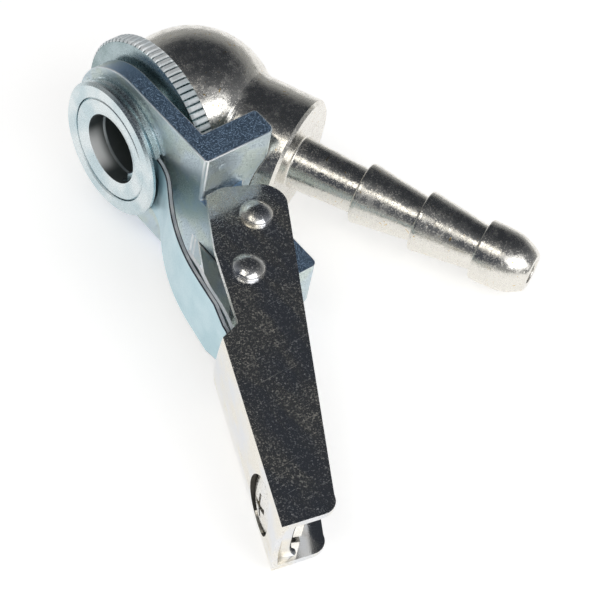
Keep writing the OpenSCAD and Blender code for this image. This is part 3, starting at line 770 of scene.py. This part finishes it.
bmesh.ops.transform(bm, matrix=along(floor_centre, floor_up), verts=bm.verts)
staged("white_sheet", bm, white)

# Studio: white walls, and inside them a tent of grey cloth that only reflections show, so that
# the polished metal has something dark to mirror. It is darkest behind the connector, with a
# dark flap low on the left. Two soft boxes hang in it, in front and on the left.

world = bpy.data.worlds.new("studio")
bpy.context.scene.world = world
tree = empty_tree(world)
rays = add(tree, "ShaderNodeLightPath")
level = add(tree, "ShaderNodeMapRange", {"Value": rays.outputs["Is Camera Ray"], "To Min": 0.55,
                                         "To Max": 1.0})
sky = add(tree, "ShaderNodeBackground", {"Color": srgb("#FFFFFF"), "Strength": level.outputs["Result"]})
add(tree, "ShaderNodeOutputWorld", {"Surface": sky.outputs[0]})

TENT_R = 700
DARK_BACK, DARK_FLAP = (0.5, 0.48, 0.72), (-0.86, 0.0, 0.5)
cloth, tree, place = new_material("grey_cloth")
towards = add(tree, "ShaderNodeVectorMath", {0: place}, operation="NORMALIZE")
behind = add(tree, "ShaderNodeVectorMath", {0: towards.outputs[0], 1: DARK_BACK},
             operation="DOT_PRODUCT")
depth = add(tree, "ShaderNodeMapRange", {"Value": behind.outputs["Value"], "From Min": 0.2,
                                         "From Max": 0.95}, interpolation_type="SMOOTHSTEP")
shade = add(tree, "ShaderNodeMix", {"Factor": depth.outputs["Result"], "A": srgb("#8C8E92"),
                                    "B": srgb("#36393E")}, data_type="RGBA")
height = add(tree, "ShaderNodeSeparateXYZ", {0: towards.outputs[0]})
skirt = add(tree, "ShaderNodeMapRange", {"Value": height.outputs["Z"], "From Min": 0.5,
                                         "From Max": 0.05}, interpolation_type="SMOOTHSTEP")
shade = add(tree, "ShaderNodeMix", {"Factor": skirt.outputs["Result"],
                                    "A": shade.outputs["Result"], "B": srgb("#A4A5A4")},
            data_type="RGBA")
left = add(tree, "ShaderNodeVectorMath", {0: towards.outputs[0], 1: DARK_FLAP},
           operation="DOT_PRODUCT")
flap = add(tree, "ShaderNodeMapRange", {"Value": left.outputs["Value"], "From Min": 0.75,
                                        "From Max": 0.95}, interpolation_type="SMOOTHSTEP")
shade = add(tree, "ShaderNodeMix", {"Factor": flap.outputs["Result"],
                                    "A": shade.outputs["Result"], "B": srgb("#4C5058")},
            data_type="RGBA")
dim = add(tree, "ShaderNodeEmission", {"Color": shade.outputs["Result"], "Strength": 1.0})
add(tree, "ShaderNodeOutputMaterial", {"Surface": dim.outputs[0]})
bm = bmesh.new()
bmesh.ops.create_uvsphere(bm, u_segments=48, v_segments=24, radius=TENT_R * MM)
bmesh.ops.reverse_faces(bm, faces=bm.faces)
tent = staged("grey_tent", bm, cloth)
tent.visible_camera = tent.visible_diffuse = tent.visible_shadow = False
tent.visible_transmission = tent.visible_volume_scatter = False

LAMPS_FACE = Vector((5, -20, 0))
LAMP_DISTANCE, RADIANCE = 500, 1.9


def soft_box(name, direction, width, height, colour="#FFFFFF"):
    """A rectangular area lamp in mm that looks back at the connector from a direction."""
    lamp = bpy.data.lights.new(name, "AREA")
    lamp.shape = "RECTANGLE"
    lamp.size = width * MM
    lamp.size_y = height * MM
    lamp.energy = RADIANCE * math.pi * lamp.size * lamp.size_y
    lamp.color = srgb(colour)[:3]
    box = bpy.data.objects.new(name, lamp)
    away = Vector(direction).normalized()
    box.location = (LAMPS_FACE + away * LAMP_DISTANCE) * MM
    box.rotation_euler = away.to_track_quat("Z", "Y").to_euler()
    bpy.context.scene.collection.objects.link(box)


soft_box("front_box", (-0.1, -0.75, 0.65), width=470, height=330)
soft_box("left_box", (-0.5, -0.02, 0.86), width=250, height=170, colour="#FFFBF2")

# Camera: a long lens, high on the left in front of the nose, rolled a little to the left.

CAMERA_PLACE = Vector((-117.05, -136.22, 188.67))
AIM = Vector((4.95, -29.40, 0))
ROLL = math.radians(12.96)
lens = bpy.data.cameras.new("camera")
lens.lens = 135.0
lens.sensor_width = 36.0
lens.clip_start = 0.01
lens.clip_end = 10.0
camera = bpy.data.objects.new("camera", lens)
camera.location = CAMERA_PLACE * MM
look = (AIM - CAMERA_PLACE).to_track_quat("-Z", "Y").to_matrix()
camera.rotation_euler = (look @ Matrix.Rotation(ROLL, 3, "Z")).to_euler()
bpy.context.scene.collection.objects.link(camera)
bpy.context.scene.camera = camera
bpy.context.scene.view_settings.view_transform = "Standard"
